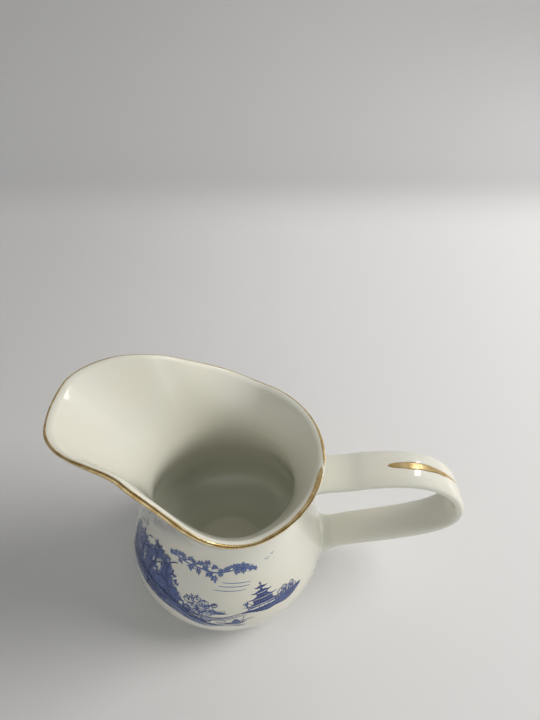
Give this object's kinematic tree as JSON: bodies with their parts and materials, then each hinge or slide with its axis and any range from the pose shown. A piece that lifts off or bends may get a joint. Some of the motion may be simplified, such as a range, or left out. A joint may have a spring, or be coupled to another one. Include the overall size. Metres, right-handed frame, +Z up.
{
  "type": "porcelain cream jug",
  "caption": "Pear-shaped porcelain cream jug with a wide spout, a strap handle, gold lines and a blue landscape print.",
  "frame": {"origin": "middle of the foot ring, on the surface the jug stands on", "axes": "+Z up, spout towards -X, handle towards +X, printed side towards -Y"},
  "size_m": [0.1171, 0.0622, 0.0752],
  "materials": {
    "glazed_porcelain": "gloss",
    "bare_clay": "matte",
    "gold": "gloss",
    "cobalt_print": "gloss"
  },
  "bodies": {
    "root": {"body": "glazed_porcelain", "foot_ring": "bare_clay", "handle": "glazed_porcelain", "upper_luting": "glazed_porcelain", "lower_luting": "glazed_porcelain", "rim_gilding": "gold", "handle_gilding": "gold", "grove_print": "cobalt_print", "branch_print": "cobalt_print", "bush_print": "cobalt_print", "shore_print": "cobalt_print", "pagoda_print": "cobalt_print", "cloud_print": "cobalt_print"}
  },
  "joints": []
}
